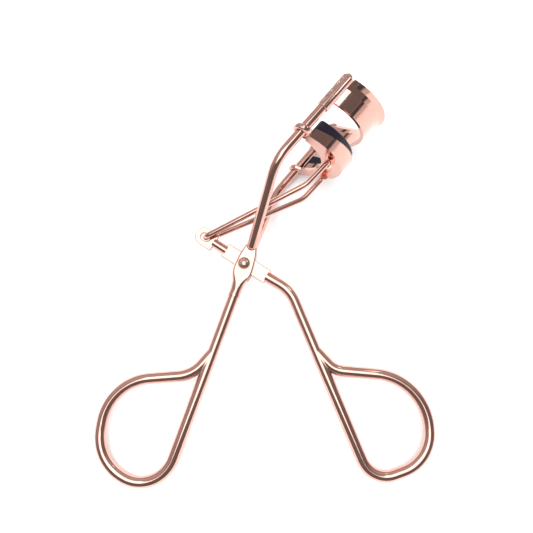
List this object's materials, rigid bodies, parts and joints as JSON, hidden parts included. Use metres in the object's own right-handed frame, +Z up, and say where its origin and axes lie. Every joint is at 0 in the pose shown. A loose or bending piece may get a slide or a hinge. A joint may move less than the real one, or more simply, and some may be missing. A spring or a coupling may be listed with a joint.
{
  "type": "eyelash curler",
  "caption": "Scissor eyelash curler: wire finger loops, riveted lever, link, and a curved jaw that slides on guide rods to meet a fixed curved plate.",
  "frame": {"origin": "centre of the footprint on the table, with the tool lying on its side on the far guide eye and the finger loops", "axes": "+Y from the finger loops towards the jaws, +X towards the lever handle's loop, +Z up from the table and close to the scissor rivet's axis"},
  "size_m": [0.0848, 0.1014, 0.0356],
  "materials": {
    "wire_metal": "mirror-polished rose-gold plating on drawn steel wire",
    "sheet_metal": "polished rose-gold plating on pressed steel sheet",
    "fittings_metal": "rose-gold plating over crimped and brazed fittings",
    "rivet_metal": "polished golden rivet head",
    "silicone": "satin black silicone"
  },
  "bodies": {
    "frame": {"frame_handle": "wire_metal", "pivot_rivet": "rivet_metal", "near_guide_rod": "wire_metal", "far_guide_rod": "wire_metal", "near_ferrule": "fittings_metal", "far_ferrule": "fittings_metal", "upper_jaw": "sheet_metal"},
    "lever": {"lever_handle": "wire_metal"},
    "lower_jaw": {"slide_plate": "sheet_metal", "pad_channel": "sheet_metal", "silicone_pad": "silicone", "near_guide_eye": "fittings_metal", "far_guide_eye": "fittings_metal", "near_link_lug": "fittings_metal", "far_link_lug": "fittings_metal"},
    "link": {"link_wire": "wire_metal"}
  },
  "joints": [
    {"name": "handle_squeeze", "type": "hinge", "parent": "frame", "child": "lever", "pos_m": [-0.00527, 0.004, 0.01138], "axis": [0, 0.1831, -0.9831], "range_deg": [-10, 25]},
    {"name": "jaw_slide", "type": "slide", "parent": "frame", "child": "lower_jaw", "axis": [0.6494, 0.7476, 0.1392], "range_m": [-0.00215, 0.00532]},
    {"name": "link_swing", "type": "hinge", "parent": "lower_jaw", "child": "link", "pos_m": [0.01635, 0.02903, 0.01605], "axis": [0, 0.1831, -0.9831], "range_deg": [-0.15, 0.06]}
  ],
  "couplings": [
    {"joint": "jaw_slide", "follows": "handle_squeeze", "m_per_rad": 0.01213},
    {"joint": "link_swing", "follows": "handle_squeeze", "ratio": -0.00576}
  ]
}
